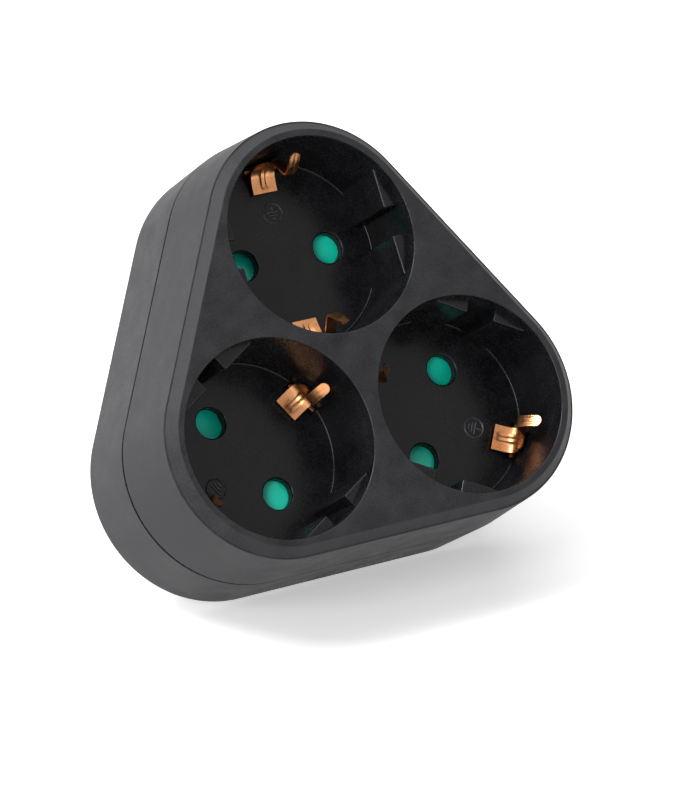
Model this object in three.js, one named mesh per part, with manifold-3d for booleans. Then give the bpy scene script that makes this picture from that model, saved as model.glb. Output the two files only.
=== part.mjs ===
// Triple socket adapter: three earthed two-pin sockets on a rounded triangular casing, and a plug behind.
// Millimetres. The work is laid out with +Z towards the user and z = 0 on the plug's end face.
// The last group turns it upright: the sockets then face -Y, the plug points to +Y and +Z is up.

import * as THREE from 'three';
import { mergeVertices } from 'three/addons/utils/BufferGeometryUtils.js';
import Module from 'manifold-3d';

const wasm = await Module();
wasm.setup();

// Clearances
const gap = 0.3;
const cutOverrun = 1;

// Facets of the largest circles, and of each of the casing's three rounded corners
const wellFacets = 48;
const cornerFacets = 16;

// Sockets
const socketSpread = 24.6;
const wellRimRadius = 19.75;
const wellFloorRadius = 19.1;
const wellDepth = 17;
const wellWall = 1.6;
const floorThickness = 2;
const pinSpacing = 19;
const pinDiameter = 4.8;
const pinLength = 19;
const pinHoleRadius = 3.1;

// Guide lugs at both ends of the pin line of each well
const lugInnerRight = 16.2;
const lugInnerLeft = 16.9;
const lugGap = 5.6;
const lugOuter = 11;
const lugDrop = 2.5;

// Casing
const faceBorder = 1.45;
const shoulderWidth = 1.9;
const shoulderDrop = 2;
const shoulderCornerGrowth = 0.2;
const sideDraft = 0.6;
const cornerDraft = 0.8;
const rearSwell = 0.35;
const rearRound = 1.6;
const caseWall = 2.2;
const faceThickness = 2.2;
const hollowTrim = 3;
const rearWall = 2;
const frontSkirt = 1;
const frontShellDepth = wellDepth + floorThickness + frontSkirt;
const rearShellDepth = 17.9;
const partingGap = 0.5;
const tongueHeight = 1.2;
const tongueThickness = 0.9;
const tongueLip = 1;

// Plug body at the back
const plugLength = 17.3;
const plugRadius = 18.5;
const plugKeyInner = 15.9;
const plugKeyOuter = 10.2;
const plugRibWidth = 4.6;
const plugRibReach = 18;
const plugEarthWidth = 9.5;
const plugEarthFlat = 15.5;
const plugEndWall = 2.6;
const plugWall = 2.4;
const pinBossWall = 2;

// Shutters
const shutterThickness = 1.8;
const shutterRadius = 13.2;
const shutterHalfAngle = 22;
const shutterRamp = 0.9;
const hubRadius = 2.5;
const hubPinRadius = 1.5;
const springRoom = 2.2;
const springWire = 0.25;
const springTurns = 2.5;
const retainerRadius = 15;
const retainerThickness = 1.2;
const retainerPostSpread = 13;
const retainerPostRadius = 1.6;
const retainerPegRadius = 0.8;

// Earth contacts: the arms' place, and the bends of the leaf and the finger on each arm
// as [distance inward from the arm, height over the floor]
const contactThickness = 0.4;
const strapThickness = 0.8;
const strapWidth = 7;
const armInset = 1.1;
const armReach = wellFloorRadius - armInset;
const armRise = 0.2;
const leafOuterEdge = 3.3;
const leafWidth = 5.25;
const leafTabRise = 3;
const leafBends = [[4.8, 0.5], [3.6, 0.7], [2.4, 1], [1.3, 1.5], [0.45, 2.3], [-0.1, 3.3], [-0.35, 4.4]];
const fingerWidth = 2.26;
const fingerBends = [
  [-0.1, -0.5],
  [-0.2, 3],
  [0.5, 4.9],
  [2.4, 6.8],
  [3.6, 8.2],
  [3.3, 9.5],
  [2.2, 11.3],
  [0.7, 13.1],
];
const bendSteps = 16;
const earthArmWidth = 6;

// Live and neutral parts
const sleeveWall = 0.8;
const sleevePlay = 0.15;
const sleeveSlit = 0.8;
const sleeveCollar = 1.1;
const barThickness = 1;
const barWidth = 4.8;
const barDrop = 1.8;
const barPitch = 3.4;
const barSideStep = 8;
const plugTurn = 90;
const rivetRadius = 1.5;
const rivetHeadRadius = 2.4;
const rivetHeadHeight = 0.8;
const pinFlangeRadius = 3.6;
const plugStripWidth = 6;
const plugStripInset = 1;
const plugStripFoot = 4;

// Casing screws
const screwSpread = 31;
const screwShankRadius = 1.45;
const screwHeadRadius = 2.9;
const screwHeadHeight = 2.2;
const screwHeadChamfer = 0.6;
const screwCrossReach = 1.75;
const screwCrossWidth = 0.8;
const screwCrossDepth = 1.1;
const screwLength = 14;
const screwSeatDepth = 11;
const screwBossRadius = 3.6;
const screwPostRadius = 4.7;
const screwTipRoom = 1.5;

// Levels along z, from the plug's end face forward
const frontZ = plugLength + rearShellDepth + partingGap + frontShellDepth;
const floorZ = frontZ - wellDepth;
const floorUnderZ = floorZ - floorThickness;
const seamZ = frontZ - frontShellDepth;
const rearTopZ = seamZ - partingGap;
const rearZ = plugLength;
const rearInnerZ = rearZ + rearWall;
const shutterTopZ = floorUnderZ - gap;
const shutterBottomZ = shutterTopZ - shutterThickness;
const retainerTopZ = shutterBottomZ - springRoom;
const retainerBottomZ = retainerTopZ - retainerThickness;
const strapTopZ = retainerBottomZ - gap;
const strapBottomZ = strapTopZ - strapThickness;
const plateBottomZ = strapBottomZ - strapThickness;
const liveBarTopZ = plateBottomZ - barDrop;
const neutralBarTopZ = liveBarTopZ - barPitch;
const screwSeatZ = rearZ + screwSeatDepth;

// Outlines of the casing: the corner circles' distance from the middle, and their radius
const faceEdge = { spread: socketSpread, radius: wellRimRadius + faceBorder };
const shoulder = { spread: socketSpread + shoulderCornerGrowth, radius: faceEdge.radius + shoulderWidth };
const seamEdge = { spread: socketSpread + cornerDraft, radius: shoulder.radius + sideDraft };
const rearEdge = { spread: socketSpread, radius: seamEdge.radius + rearSwell };

const black = { color: 0x2c2c2f, roughness: 0.55, metalness: 0 };
const innerBlack = { color: 0x1b1b1d, roughness: 0.5, metalness: 0 };
const green = { color: 0x0ba583, roughness: 0.4, metalness: 0 };
const bronze = { color: 0xc98c5a, roughness: 0.3, metalness: 1 };
const brass = { color: 0xc9a85a, roughness: 0.35, metalness: 1 };
const nickel = { color: 0xc4c3be, roughness: 0.25, metalness: 1 };
const steel = { color: 0xa8abae, roughness: 0.35, metalness: 1 };

// The three sockets: their direction from the middle, and the side and place of the contact's finger
const corners = [
  { name: 'top', angle: 90, fingerSide: 1, fingerMiddle: 1.7 },
  { name: 'left', angle: 210, fingerSide: -1, fingerMiddle: 0.3 },
  { name: 'right', angle: 330, fingerSide: -1, fingerMiddle: 0.9 },
];

const radians = THREE.MathUtils.degToRad;

function polar(radius, angle) {
  return new THREE.Vector2(radius * Math.cos(radians(angle)), radius * Math.sin(radians(angle)));
}

// A closed geometry becomes a solid that can be joined and cut.
function solid(geometry) {
  const bare = geometry.index ? geometry.toNonIndexed() : geometry.clone();
  bare.deleteAttribute('normal');
  bare.deleteAttribute('uv');
  const merged = mergeVertices(bare, 1e-4);
  const vertProperties = new Float32Array(merged.attributes.position.array);
  const triVerts = new Uint32Array(merged.index.array);
  return new wasm.Manifold(new wasm.Mesh({ numProp: 3, vertProperties, triVerts }));
}

function joined(solids) {
  return solids.reduce((all, next) => all.add(next));
}

function geometryOf(shape) {
  const data = shape.getMesh();
  const geometry = new THREE.BufferGeometry();
  geometry.setAttribute('position', new THREE.BufferAttribute(new Float32Array(data.vertProperties), 3));
  geometry.setIndex(new THREE.BufferAttribute(new Uint32Array(data.triVerts), 1));
  return geometry;
}

function piece(name, shape, look) {
  const geometry = geometryOf(shape);
  geometry.computeVertexNormals();
  const mesh = new THREE.Mesh(geometry, new THREE.MeshStandardMaterial(look));
  mesh.name = name;
  return mesh;
}

function prism(shape, bottom, top, curveSegments = 12) {
  const options = { depth: top - bottom, bevelEnabled: false, curveSegments };
  const geometry = new THREE.ExtrudeGeometry(shape, options);
  geometry.translate(0, 0, bottom);
  return geometry;
}

function box(x0, x1, y0, y1, z0, z1) {
  const geometry = new THREE.BoxGeometry(x1 - x0, y1 - y0, z1 - z0);
  geometry.translate((x0 + x1) / 2, (y0 + y1) / 2, (z0 + z1) / 2);
  return solid(geometry);
}

function rod(radius, bottom, top, x = 0, y = 0, segments = 16) {
  const geometry = new THREE.CylinderGeometry(radius, radius, top - bottom, segments);
  geometry.rotateX(Math.PI / 2);
  geometry.translate(x, y, (bottom + top) / 2);
  return solid(geometry);
}

// A turned shape from a closed profile of [radius, z] points
function turned(profile, segments = 16) {
  const points = profile.map(([radius, z]) => new THREE.Vector2(radius, z));
  points.push(points[0].clone());
  const geometry = new THREE.LatheGeometry(points, segments);
  geometry.rotateX(Math.PI / 2);
  return solid(geometry);
}

function placed(shape, x, y, turn = 0) {
  const geometry = geometryOf(shape);
  geometry.rotateZ(radians(turn));
  geometry.translate(x, y, 0);
  return solid(geometry);
}

// The points of a triangle with round corners, grown or shrunk by an offset.
// The facets touch the corner's round from outside.
function trianglePoints(outline, offset = 0) {
  const points = [];
  const cornerSweep = 360 / corners.length;
  const facetSweep = cornerSweep / cornerFacets;
  const reach = (outline.radius + offset) / Math.cos(radians(facetSweep / 2));
  for (const { angle } of corners) {
    const centre = polar(outline.spread, angle);
    for (let step = 0; step <= cornerFacets; step += 1) {
      points.push(centre.clone().add(polar(reach, angle - cornerSweep / 2 + facetSweep * step)));
    }
  }
  return points;
}

// A closed body through round-cornered triangles, from the lowest level to the highest
function lofted(levels) {
  const rings = levels.map(({ outline, offset = 0, z }) => ({ z, points: trianglePoints(outline, offset) }));
  const count = rings[0].points.length;
  const positions = [];
  for (const { z, points } of rings) {
    points.forEach((point) => positions.push(point.x, point.y, z));
  }
  positions.push(0, 0, rings[0].z);
  positions.push(0, 0, rings[rings.length - 1].z);
  const topRing = (rings.length - 1) * count;
  const bottomCentre = topRing + count;
  const topCentre = bottomCentre + 1;
  const index = [];
  for (let i = 0; i < count; i += 1) {
    const next = (i + 1) % count;
    index.push(bottomCentre, next, i);
    index.push(topCentre, topRing + i, topRing + next);
    for (let ring = 0; ring < rings.length - 1; ring += 1) {
      const low = ring * count;
      const high = low + count;
      index.push(low + i, low + next, high + next);
      index.push(low + i, high + next, high + i);
    }
  }
  const geometry = new THREE.BufferGeometry();
  geometry.setAttribute('position', new THREE.Float32BufferAttribute(positions, 3));
  geometry.setIndex(index);
  return solid(geometry);
}

// A solid made in a socket's own frame (x along its pins, y outward) is copied to all three sockets.
function atEachSocket(shape) {
  return joined(corners.map(({ angle }) => {
    const centre = polar(socketSpread, angle);
    return placed(shape, centre.x, centre.y, angle - 90);
  }));
}

function atEachScrew(shape) {
  return joined(corners.map(({ angle }) => {
    const centre = polar(screwSpread, angle + 180);
    return placed(shape, centre.x, centre.y);
  }));
}

const pinX = pinSpacing / 2;

function wellSpace() {
  const flare = (wellRimRadius - wellFloorRadius) / wellDepth;
  const overRadius = wellRimRadius + flare * cutOverrun;
  const overZ = frontZ + cutOverrun;
  return turned([[0, floorZ], [wellFloorRadius, floorZ], [overRadius, overZ], [0, overZ]], wellFacets);
}

function wellTube() {
  return rod(wellRimRadius + wellWall, floorUnderZ, frontZ - faceThickness + gap, 0, 0, wellFacets);
}

function guideLugs() {
  const top = frontZ - lugDrop;
  const reach = wellRimRadius + cutOverrun;
  const lugs = [];
  for (const [side, inner] of [[-1, lugInnerLeft], [1, lugInnerRight]]) {
    for (const end of [-1, 1]) {
      const x0 = Math.min(side * inner, side * reach);
      const y0 = Math.min(end * lugGap / 2, end * lugOuter);
      lugs.push(box(x0, x0 + reach - inner, y0, y0 + lugOuter - lugGap / 2, floorZ - gap, top));
    }
  }
  const limit = rod(wellRimRadius + wellWall / 2, floorZ - cutOverrun, frontZ, 0, 0, wellFacets);
  return joined(lugs).intersect(limit);
}

function floorHoles() {
  const low = floorUnderZ - cutOverrun;
  const high = floorZ + cutOverrun;
  const slotHalf = strapWidth / 2 + gap;
  const slotIn = armReach - strapThickness - gap;
  const slotOut = armReach + strapThickness / 2 + gap;
  return joined([
    rod(pinHoleRadius, low, high, pinX, 0),
    rod(pinHoleRadius, low, high, -pinX, 0),
    box(-slotHalf, slotHalf, slotIn, slotOut, low, high),
    box(-slotHalf, slotHalf, -slotOut, -slotIn, low, high),
  ]);
}

// Under each floor: the pin that the shutter turns on, and two pegs that carry the retainer
function floorPins() {
  const pegEnd = retainerBottomZ - gap / 2;
  return joined([
    rod(hubPinRadius, retainerTopZ + gap, floorUnderZ + gap),
    rod(retainerPostRadius, retainerTopZ, floorUnderZ + gap, 0, retainerPostSpread),
    rod(retainerPostRadius, retainerTopZ, floorUnderZ + gap, 0, -retainerPostSpread),
    rod(retainerPegRadius, pegEnd, floorUnderZ, 0, retainerPostSpread),
    rod(retainerPegRadius, pegEnd, floorUnderZ, 0, -retainerPostSpread),
  ]);
}

function frontCover() {
  const outer = lofted([
    { outline: seamEdge, z: seamZ },
    { outline: shoulder, z: frontZ - shoulderDrop },
    { outline: faceEdge, z: frontZ },
  ]);
  // The hollow between the wells keeps clear of the corners, where the well and the casing are one wall.
  const hollowEdge = {
    spread: socketSpread - hollowTrim,
    radius: shoulder.radius - caseWall + hollowTrim / 2,
  };
  const hollow = lofted([
    { outline: hollowEdge, z: floorUnderZ - gap },
    { outline: hollowEdge, z: frontZ - faceThickness },
  ]);
  const chamber = lofted([
    { outline: seamEdge, offset: -tongueLip, z: seamZ - cutOverrun },
    { outline: seamEdge, offset: -tongueLip, z: floorUnderZ },
  ]);
  const boss = rod(screwBossRadius, seamZ, frontZ - faceThickness + gap);
  const screwTipZ = screwSeatZ + screwLength;
  const pilot = rod(screwShankRadius + gap, seamZ - cutOverrun, screwTipZ + screwTipRoom);
  return outer
    .subtract(hollow.subtract(atEachSocket(wellTube())))
    .subtract(chamber)
    .add(atEachScrew(boss))
    .add(atEachSocket(floorPins()))
    .subtract(atEachSocket(wellSpace()))
    .add(atEachSocket(guideLugs()))
    .subtract(atEachSocket(floorHoles()))
    .subtract(atEachScrew(pilot));
}

function plugBody() {
  const top = rearZ + gap;
  let body = rod(plugRadius, 0, top, 0, 0, wellFacets);
  for (const side of [-1, 1]) {
    const x0 = side > 0 ? plugKeyInner : -plugRadius - cutOverrun;
    const x1 = side > 0 ? plugRadius + cutOverrun : -plugKeyInner;
    const key = box(x0, x1, -plugKeyOuter, plugKeyOuter, -cutOverrun, rearZ);
    const rib = box(x0, x1, -plugRibWidth / 2, plugRibWidth / 2, -cutOverrun, rearZ);
    const ribReach = rod(plugRibReach, -cutOverrun, rearZ, 0, 0, wellFacets);
    body = body.subtract(key.subtract(rib.intersect(ribReach)));
    const y0 = side > 0 ? plugEarthFlat : -plugRadius - cutOverrun;
    const y1 = side > 0 ? plugRadius + cutOverrun : -plugEarthFlat;
    body = body.subtract(box(-plugEarthWidth / 2, plugEarthWidth / 2, y0, y1, -cutOverrun, rearZ));
  }
  return body;
}

function rearCover() {
  const halfRound = rearRound * (1 - Math.SQRT1_2);
  const outer = lofted([
    { outline: rearEdge, offset: -rearRound, z: rearZ },
    { outline: rearEdge, offset: -halfRound, z: rearZ + halfRound },
    { outline: rearEdge, z: rearZ + rearRound },
    { outline: seamEdge, z: rearTopZ },
  ]);
  const hollow = lofted([
    { outline: rearEdge, offset: -caseWall, z: rearInnerZ },
    { outline: seamEdge, offset: -caseWall, z: rearTopZ + cutOverrun },
  ]);
  const tongueTop = seamZ + tongueHeight - gap - partingGap;
  const tongueOut = -tongueLip - gap;
  const tongue = lofted([
    { outline: seamEdge, offset: tongueOut, z: rearTopZ - gap },
    { outline: seamEdge, offset: tongueOut, z: tongueTop },
  ]).subtract(lofted([
    { outline: seamEdge, offset: tongueOut - tongueThickness, z: rearTopZ - cutOverrun },
    { outline: seamEdge, offset: tongueOut - tongueThickness, z: tongueTop + cutOverrun },
  ])).subtract(atEachScrew(rod(screwBossRadius + gap, rearTopZ - gap, tongueTop + cutOverrun)));
  const plugHollow = rod(plugEarthFlat - plugWall, plugEndWall, rearInnerZ + gap, 0, 0, wellFacets);
  const pinBoss = rod(pinDiameter / 2 + gap + pinBossWall, 0, rearInnerZ);
  const pinHole = rod(pinDiameter / 2 + gap, -cutOverrun, rearInnerZ + cutOverrun);
  const stripHalf = plugStripWidth / 2 + gap;
  const post = rod(screwPostRadius, rearZ + gap, seamZ - gap);
  const headBore = rod(screwHeadRadius + gap, rearZ - cutOverrun, screwSeatZ);
  const shankBore = rod(screwShankRadius + gap, rearZ, seamZ + cutOverrun);
  const limit = lofted([
    { outline: rearEdge, offset: -caseWall / 2, z: rearZ },
    { outline: seamEdge, offset: -caseWall / 2, z: rearTopZ },
    { outline: seamEdge, offset: tongueOut, z: seamZ },
  ]);
  const slot = box(
    -stripHalf,
    stripHalf,
    plugEarthFlat,
    plugEarthFlat + strapThickness + gap,
    rearZ - gap,
    rearInnerZ + cutOverrun,
  );
  let cover = outer.subtract(hollow).add(tongue).add(placed(plugBody(), 0, 0, plugTurn)).subtract(plugHollow);
  for (const turn of [plugTurn, plugTurn + 180]) {
    const pinPlace = polar(pinX, turn);
    cover = cover.add(placed(pinBoss, pinPlace.x, pinPlace.y));
    cover = cover.subtract(placed(pinHole, pinPlace.x, pinPlace.y));
    cover = cover.subtract(placed(slot, 0, 0, turn));
  }
  return cover
    .add(atEachScrew(post).intersect(limit))
    .subtract(atEachScrew(headBore))
    .subtract(atEachScrew(shankBore));
}

// Two blades on a hub. Each blade slopes on its front, so that a pin turns it aside.
function shutter() {
  const blades = [];
  for (const start of [0, 180]) {
    const shape = new THREE.Shape();
    shape.moveTo(0, 0);
    const low = radians(start - shutterHalfAngle);
    const high = radians(start + shutterHalfAngle);
    shape.absarc(0, 0, shutterRadius, low, high, false);
    shape.lineTo(0, 0);
    blades.push(solid(prism(shape, shutterBottomZ, shutterTopZ, 4)));
  }
  const slope = new THREE.BoxGeometry(shutterRadius, shutterRadius, shutterThickness);
  slope.translate(shutterRadius / 2 + hubRadius + gap, 0, shutterThickness / 2);
  slope.rotateX(Math.atan2(shutterRamp, shutterRadius * Math.sin(radians(shutterHalfAngle))));
  slope.translate(0, 0, shutterTopZ - shutterRamp / 2);
  const ramp = solid(slope);
  return joined(blades)
    .add(rod(hubRadius, retainerTopZ + gap, shutterTopZ))
    .subtract(ramp)
    .subtract(placed(ramp, 0, 0, 180))
    .subtract(rod(hubPinRadius + gap, retainerTopZ, shutterTopZ + cutOverrun));
}

function spring() {
  const radius = hubRadius + gap + springWire;
  const low = retainerTopZ + gap / 2 + springWire;
  const high = shutterBottomZ - gap / 2 - springWire;
  class Coil extends THREE.Curve {
    getPoint(t, target = new THREE.Vector3()) {
      const turn = t * springTurns * Math.PI * 2;
      return target.set(radius * Math.cos(turn), radius * Math.sin(turn), low + (high - low) * t);
    }
  }
  const section = new THREE.Shape();
  section.absarc(0, 0, springWire, 0, Math.PI * 2, false);
  const steps = Math.round(springTurns * 12);
  const options = { steps, extrudePath: new Coil(), curveSegments: 3 };
  return solid(new THREE.ExtrudeGeometry(section, options));
}

function retainer() {
  const peg = retainerPegRadius + gap / 2;
  return rod(retainerRadius, retainerBottomZ, retainerTopZ, 0, 0, wellFacets / 2)
    .subtract(rod(pinHoleRadius, retainerBottomZ - cutOverrun, retainerTopZ + cutOverrun, pinX, 0))
    .subtract(rod(pinHoleRadius, retainerBottomZ - cutOverrun, retainerTopZ + cutOverrun, -pinX, 0))
    .subtract(rod(peg, retainerBottomZ - cutOverrun, retainerTopZ + cutOverrun, 0, retainerPostSpread))
    .subtract(rod(peg, retainerBottomZ - cutOverrun, retainerTopZ + cutOverrun, 0, -retainerPostSpread));
}

// A strip bent along [y, z] points and extruded across x
function bentStrip(points, thickness, x0, x1) {
  const line = points.map(([y, z]) => new THREE.Vector2(y, z));
  const left = [];
  const right = [];
  line.forEach((point, i) => {
    const before = line[Math.max(i - 1, 0)];
    const after = line[Math.min(i + 1, line.length - 1)];
    const into = point.clone().sub(before);
    const out = after.clone().sub(point);
    const first = i === 0 ? out.clone().normalize() : into.normalize();
    const second = i === line.length - 1 ? first.clone() : out.normalize();
    const along = first.clone().add(second).normalize();
    const reach = thickness / 2 / Math.max(along.dot(first), 0.5);
    const normal = new THREE.Vector2(-along.y, along.x).multiplyScalar(reach);
    left.push(point.clone().add(normal));
    right.push(point.clone().sub(normal));
  });
  const outline = new THREE.Shape([...left, ...right.reverse()]);
  const geometry = new THREE.ExtrudeGeometry(outline, { depth: x1 - x0, bevelEnabled: false });
  geometry.rotateX(Math.PI / 2);
  geometry.rotateZ(Math.PI / 2);
  geometry.translate(x0, 0, 0);
  return solid(geometry);
}

// A smooth path through bends, each given as [distance inward from the arm, height over the floor]
function bendPath(bends) {
  const points = bends.map(([inward, rise]) => new THREE.Vector2(armReach - inward, floorZ + rise));
  const curve = new THREE.SplineCurve(points);
  return curve.getPoints(bendSteps).map((point) => [point.x, point.y]);
}

// One strap under the floor, with an arm up each side. Each arm ends in a leaf and a finger.
function earthContact(fingerSide, fingerMiddle) {
  const strapMid = strapBottomZ + strapThickness / 2;
  const armTop = floorZ + armRise;
  const strap = bentStrip(
    [[-armReach, armTop], [-armReach, strapMid], [armReach, strapMid], [armReach, armTop]],
    strapThickness,
    -strapWidth / 2,
    strapWidth / 2,
  );
  const leafInnerEdge = leafWidth - leafOuterEdge;
  const leaf = bentStrip(bendPath(leafBends), contactThickness, -leafOuterEdge, leafInnerEdge);
  const tab = box(
    gap - leafOuterEdge,
    leafInnerEdge - gap,
    armReach - contactThickness / 2,
    armReach + contactThickness / 2,
    floorZ - gap,
    floorZ + leafTabRise,
  );
  const fingerHalf = fingerWidth / 2;
  const finger = bentStrip(
    bendPath(fingerBends),
    contactThickness,
    fingerMiddle - fingerHalf,
    fingerMiddle + fingerHalf,
  );
  const pair = joined([leaf, tab, finger]);
  const half = fingerSide > 0 ? pair : mirrored(pair, 'x');
  return joined([strap, half, mirrored(half, 'y')]);
}

// A copy reflected across x or y, with its faces turned to point outwards again
function mirrored(shape, axis) {
  const data = shape.getMesh();
  const positions = new Float32Array(data.vertProperties);
  const offset = axis === 'x' ? 0 : 1;
  for (let i = offset; i < positions.length; i += 3) {
    positions[i] = -positions[i];
  }
  const triVerts = new Uint32Array(data.triVerts);
  for (let i = 0; i < triVerts.length; i += 3) {
    const kept = triVerts[i];
    triVerts[i] = triVerts[i + 1];
    triVerts[i + 1] = kept;
  }
  return new wasm.Manifold(new wasm.Mesh({ numProp: 3, vertProperties: positions, triVerts }));
}

// A flat bar with round ends between two points
function bar(from, to, width, bottom, top) {
  const along = to.clone().sub(from);
  const shape = new THREE.Shape();
  const turn = along.angle();
  shape.absarc(to.x, to.y, width / 2, turn - Math.PI / 2, turn + Math.PI / 2, false);
  shape.absarc(from.x, from.y, width / 2, turn + Math.PI / 2, turn + (3 * Math.PI) / 2, false);
  return solid(prism(shape, bottom, top, 4));
}

// A plate behind the three straps, spot-welded to them, with two more arms for the plug's earth strips
function earthPlate() {
  const middle = new THREE.Vector2(0, 0);
  const strapReach = socketSpread - armReach + strapWidth;
  const stripReach = plugEarthFlat + strapThickness - earthArmWidth / 2;
  const ends = corners.map(({ angle }) => polar(strapReach, angle));
  ends.push(polar(stripReach, plugTurn + 90), polar(stripReach, plugTurn - 90));
  return joined(ends.map((end) => bar(middle, end, earthArmWidth, plateBottomZ, strapBottomZ)));
}

// The places of one pole's three sleeves, in the order of the corners
function sleevePlaces(side) {
  return corners.map(({ angle }) => {
    const centre = polar(socketSpread, angle);
    return centre.add(polar(side * pinX, angle - 90));
  });
}

function sleeve(barTopZ) {
  const bore = pinDiameter / 2 + sleevePlay;
  const outer = bore + sleeveWall;
  const top = retainerBottomZ - gap;
  const low = rearInnerZ + gap;
  const collarTop = barTopZ - barThickness;
  const tube = turned([
    [bore, low],
    [outer, low],
    [outer, collarTop - sleeveWall],
    [outer + sleeveCollar, collarTop - sleeveWall],
    [outer + sleeveCollar, collarTop],
    [outer, collarTop],
    [outer, top],
    [bore, top],
  ]);
  const reach = outer + cutOverrun;
  const slit = box(-reach, reach, -sleeveSlit / 2, sleeveSlit / 2, barTopZ + gap, top + cutOverrun);
  return tube.subtract(slit);
}

// The runs of each busbar, from its plug pin to its three sleeves,
// round the plug's earth strips and the other pin
function busbarRuns(side) {
  const [top, left, right] = sleevePlaces(side);
  const pin = polar(side * pinX, plugTurn);
  const bend = new THREE.Vector2(-side * (plugEarthFlat + strapThickness), pin.y);
  if (side > 0) {
    return { pin, runs: [[pin, top], [pin, right], [pin, bend], [bend, left]] };
  }
  const sideStep = new THREE.Vector2(-barSideStep, 0);
  return { pin, runs: [[pin, left], [pin, sideStep], [sideStep, top], [pin, bend], [bend, right]] };
}

function busbar(side, topZ) {
  const bottomZ = topZ - barThickness;
  const places = sleevePlaces(side);
  const { pin, runs } = busbarRuns(side);
  const padRadius = pinDiameter / 2 + sleevePlay + sleeveWall + sleeveCollar + gap;
  const holeRadius = pinDiameter / 2 + sleevePlay + sleeveWall + gap;
  let plate = joined(runs.map(([from, to]) => bar(from, to, barWidth, bottomZ, topZ)));
  for (const place of places) {
    plate = plate.add(rod(padRadius, bottomZ, topZ, place.x, place.y));
  }
  for (const place of places) {
    plate = plate.subtract(rod(holeRadius, bottomZ - cutOverrun, topZ + cutOverrun, place.x, place.y));
  }
  plate = plate.add(rod(pinFlangeRadius, bottomZ, topZ, pin.x, pin.y));
  return plate.subtract(rod(rivetRadius + gap, bottomZ - cutOverrun, topZ + cutOverrun, pin.x, pin.y));
}

// A round-ended pin, with a flange under its busbar and a riveted head over it
function plugPin(barTopZ) {
  const radius = pinDiameter / 2;
  const barBottom = barTopZ - barThickness;
  const headBottom = barTopZ + gap / 2;
  const tip = [];
  for (const angle of [-90, -60, -30, 0]) {
    const point = polar(radius, angle);
    tip.push([Math.max(point.x, 0), -pinLength + radius + point.y]);
  }
  return turned([
    ...tip,
    [radius, barBottom - sleeveWall],
    [pinFlangeRadius, barBottom - sleeveWall],
    [pinFlangeRadius, barBottom],
    [rivetRadius, barBottom],
    [rivetRadius, headBottom],
    [rivetHeadRadius, headBottom],
    [rivetHeadRadius, headBottom + rivetHeadHeight],
    [0, headBottom + rivetHeadHeight],
  ]);
}

function plugEarthStrip() {
  const mid = plugEarthFlat + strapThickness / 2;
  const footZ = plateBottomZ - strapThickness / 2;
  return bentStrip(
    [[mid, plugStripInset], [mid, footZ], [mid - plugStripFoot, footZ]],
    strapThickness,
    -plugStripWidth / 2,
    plugStripWidth / 2,
  );
}

function caseScrew() {
  const crossHalf = screwCrossWidth / 2;
  const headZ = screwSeatZ - screwHeadHeight;
  const crossZ = headZ + screwCrossDepth;
  const body = turned([
    [0, headZ],
    [screwHeadRadius - screwHeadChamfer, headZ],
    [screwHeadRadius, headZ + screwHeadChamfer],
    [screwHeadRadius, screwSeatZ],
    [screwShankRadius, screwSeatZ],
    [screwShankRadius, screwSeatZ + screwLength - screwShankRadius],
    [0, screwSeatZ + screwLength],
  ]);
  return body
    .subtract(box(-screwCrossReach, screwCrossReach, -crossHalf, crossHalf, headZ - cutOverrun, crossZ))
    .subtract(box(-crossHalf, crossHalf, -screwCrossReach, screwCrossReach, headZ - cutOverrun, crossZ));
}

const adapter = new THREE.Group();
adapter.rotation.x = Math.PI / 2;

adapter.add(piece('front_cover', frontCover(), black));
adapter.add(piece('rear_cover', rearCover(), black));

for (const { name, angle, fingerSide, fingerMiddle } of corners) {
  const socket = new THREE.Group();
  const centre = polar(socketSpread, angle);
  socket.position.set(centre.x, centre.y, 0);
  socket.rotation.z = radians(angle - 90);
  socket.add(piece(`shutter_${name}`, shutter(), green));
  socket.add(piece(`shutter_spring_${name}`, spring(), steel));
  socket.add(piece(`shutter_retainer_${name}`, retainer(), innerBlack));
  socket.add(piece(`earth_contact_${name}`, earthContact(fingerSide, fingerMiddle), bronze));
  adapter.add(socket);

  const screw = piece(`case_screw_opposite_${name}`, caseScrew(), steel);
  const screwPlace = polar(screwSpread, angle + 180);
  screw.position.set(screwPlace.x, screwPlace.y, 0);
  adapter.add(screw);
}

adapter.add(piece('earth_plate', earthPlate(), brass));

const poles = [
  { name: 'live', side: 1, barTopZ: liveBarTopZ },
  { name: 'neutral', side: -1, barTopZ: neutralBarTopZ },
];
for (const { name, side, barTopZ } of poles) {
  adapter.add(piece(`${name}_busbar`, busbar(side, barTopZ), brass));
  const pin = piece(`${name}_plug_pin`, plugPin(barTopZ), nickel);
  const pinPlace = polar(side * pinX, plugTurn);
  pin.position.set(pinPlace.x, pinPlace.y, 0);
  adapter.add(pin);
  sleevePlaces(side).forEach((place, i) => {
    const contact = piece(`${name}_sleeve_${corners[i].name}`, sleeve(barTopZ), brass);
    contact.position.set(place.x, place.y, 0);
    adapter.add(contact);
  });
}

for (const [name, turn] of [['left', plugTurn], ['right', plugTurn + 180]]) {
  const strip = piece(`plug_earth_strip_${name}`, plugEarthStrip(), nickel);
  strip.rotation.z = radians(turn);
  adapter.add(strip);
}

export default adapter;
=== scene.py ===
import math

import bmesh
import bpy
from mathutils import Matrix, Vector


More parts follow.
